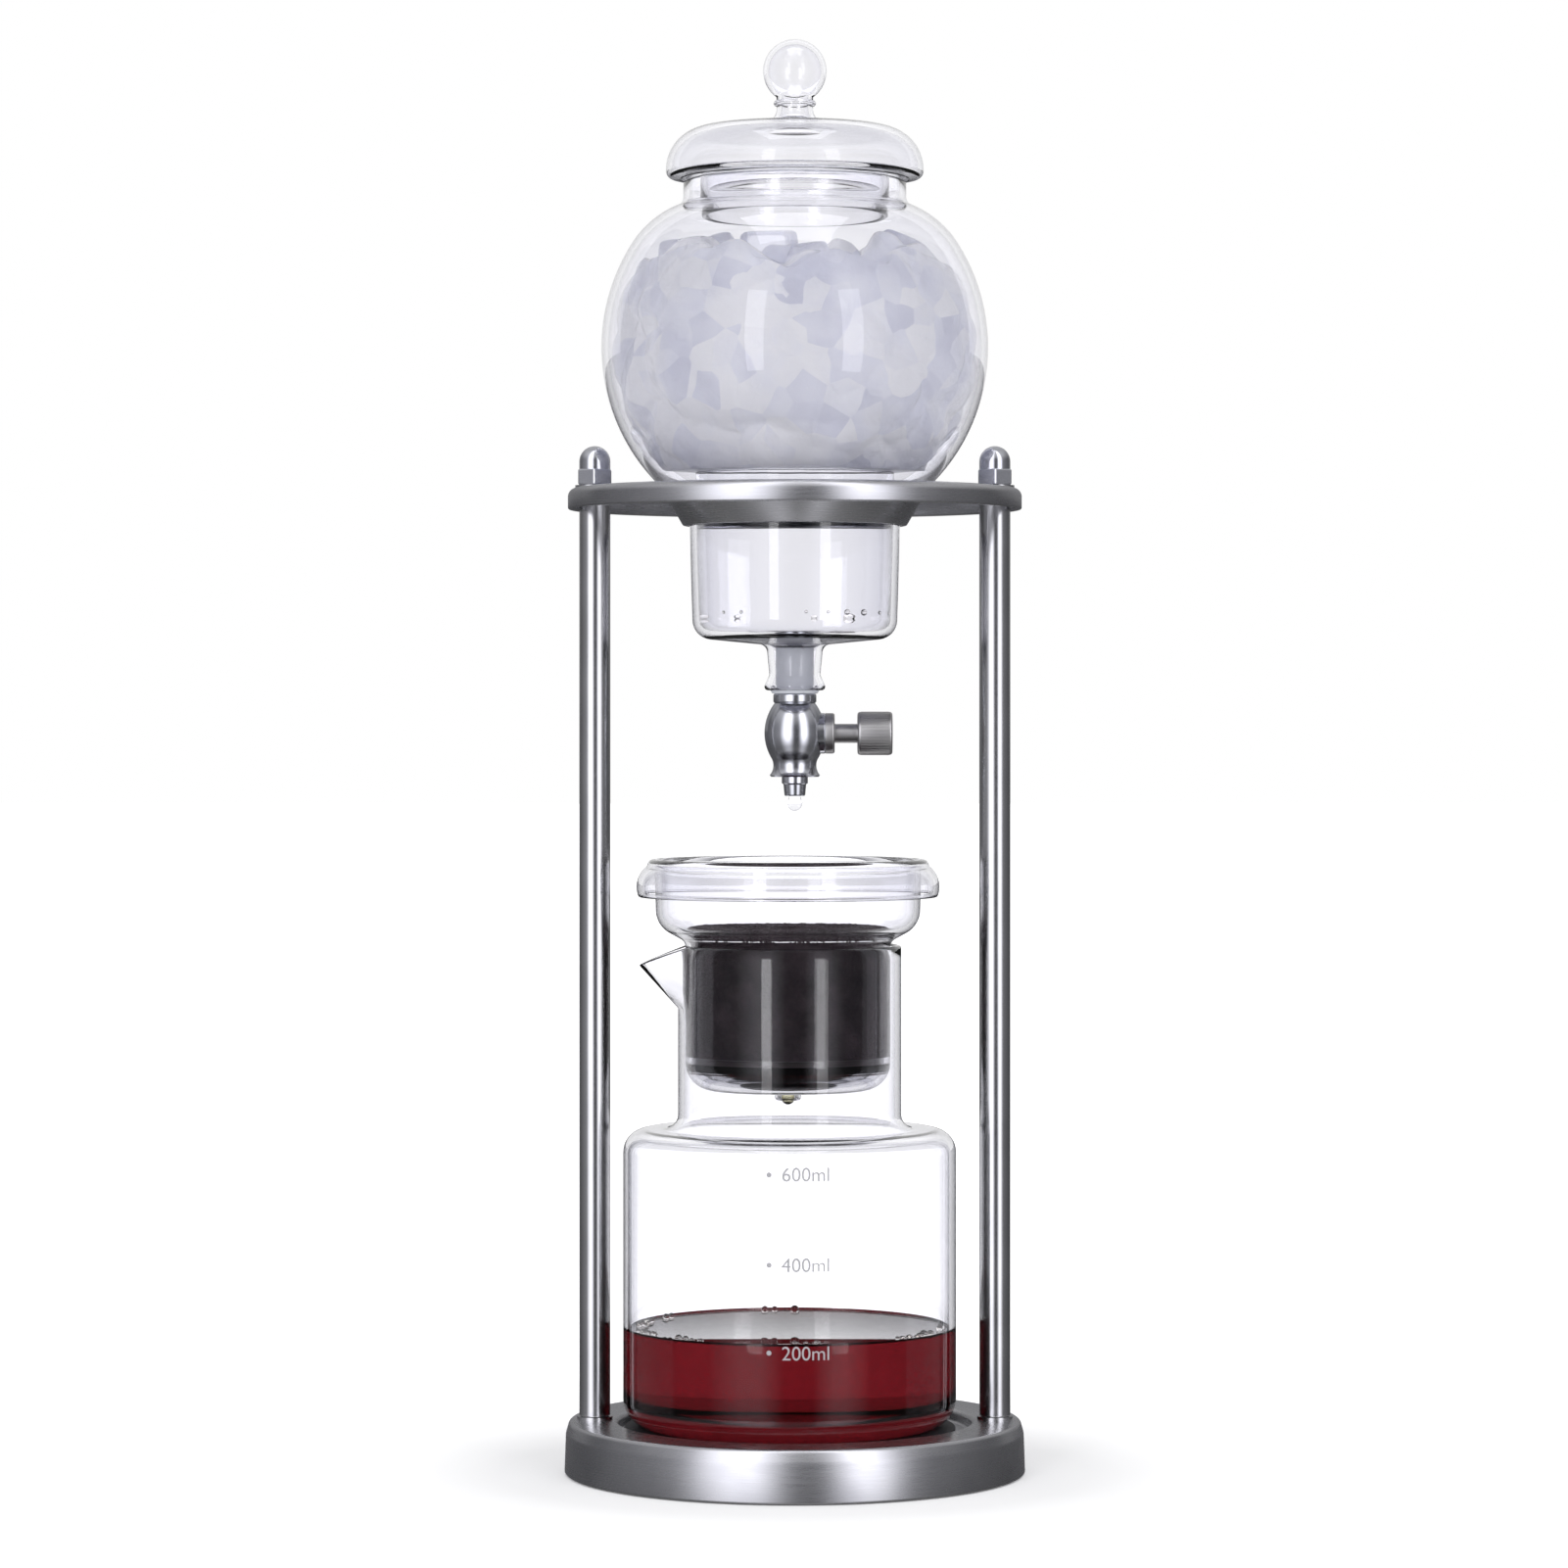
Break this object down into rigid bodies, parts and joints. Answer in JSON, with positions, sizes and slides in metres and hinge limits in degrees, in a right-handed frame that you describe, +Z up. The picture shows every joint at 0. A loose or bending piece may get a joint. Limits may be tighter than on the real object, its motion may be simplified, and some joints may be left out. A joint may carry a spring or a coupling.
{
  "type": "cold drip coffee tower",
  "caption": "Tower that drips iced water through a needle valve into a glass cup of coffee grounds on a carafe, carried by a steel base, posts and top plate.",
  "frame": {"origin": "centre of the base's underside, on the table", "axes": "+Z up, -Y towards the viewer (front), +X towards the valve knob"},
  "size_m": [0.141, 0.141, 0.4389],
  "materials": {
    "brushed_steel": "brushed",
    "polished_steel": "polished",
    "raw_steel": "machined",
    "foot_rubber": "matt",
    "mat_rubber": "matt",
    "seal_rubber": "matt",
    "clear_glass": "clear",
    "grey_silicone": "translucent, satin",
    "chrome": "polished",
    "white_plastic": "satin",
    "ice": "milky, wet",
    "coffee_grounds": "granular, wet",
    "satin_metal": "satin, finely grooved"
  },
  "bodies": {
    "stand": {"base_pan": "brushed_steel", "ballast_plate": "raw_steel", "foot_pad": "foot_rubber", "carafe_mat": "mat_rubber", "post_left": "polished_steel", "post_right": "polished_steel", "post_foot_washers": "polished_steel", "post_spacers": "raw_steel", "post_screws": "raw_steel", "post_lock_washers": "raw_steel", "top_plate": "brushed_steel", "top_studs": "raw_steel", "top_washers": "polished_steel", "acorn_nuts": "polished_steel"},
    "vessel": {"ice_globe": "clear_glass", "outlet_stopper": "grey_silicone", "valve_inlet_tube": "raw_steel", "inlet_collar": "chrome", "valve_body": "chrome", "valve_seat": "white_plastic", "drip_nozzle": "chrome", "packing_seal": "seal_rubber", "packing_nut": "chrome", "ice_mass": "ice"},
    "spindle": {"valve_spindle": "chrome"},
    "knob": {"valve_knob": "satin_metal", "knob_set_screw": "raw_steel"},
    "lid": {"globe_lid": "clear_glass"},
    "carafe": {"carafe_glass": "clear_glass"},
    "brewer": {"brew_cup": "clear_glass", "filter_gasket": "seal_rubber", "filter_screen": "brushed_steel", "coffee_grounds": "coffee_grounds"}
  },
  "joints": [
    {"name": "globe_lift", "type": "slide", "parent": "stand", "child": "vessel", "axis": [0, 0, 1], "range_m": [0, 0.105]},
    {"name": "lid_lift", "type": "slide", "parent": "vessel", "child": "lid", "axis": [0, 0, 1], "range_m": [0, 0.06]},
    {"name": "spindle_travel", "type": "slide", "parent": "vessel", "child": "spindle", "axis": [1, 0, 0], "range_m": [-0.00038, 0.0015]},
    {"name": "knob_turn", "type": "hinge", "parent": "spindle", "child": "knob", "pos_m": [0.0245, 0, 0.22615], "axis": [1, 0, 0], "range_deg": [-185, 725]},
    {"name": "carafe_draw", "type": "slide", "parent": "stand", "child": "carafe", "axis": [0, -0.9781, 0.2079], "range_m": [0, 0.135]},
    {"name": "cup_lift", "type": "slide", "parent": "carafe", "child": "brewer", "axis": [0, 0, 1], "range_m": [0, 0.048]}
  ],
  "couplings": [
    {"joint": "knob_turn", "follows": "spindle_travel", "rad_per_m": 8377.6}
  ]
}
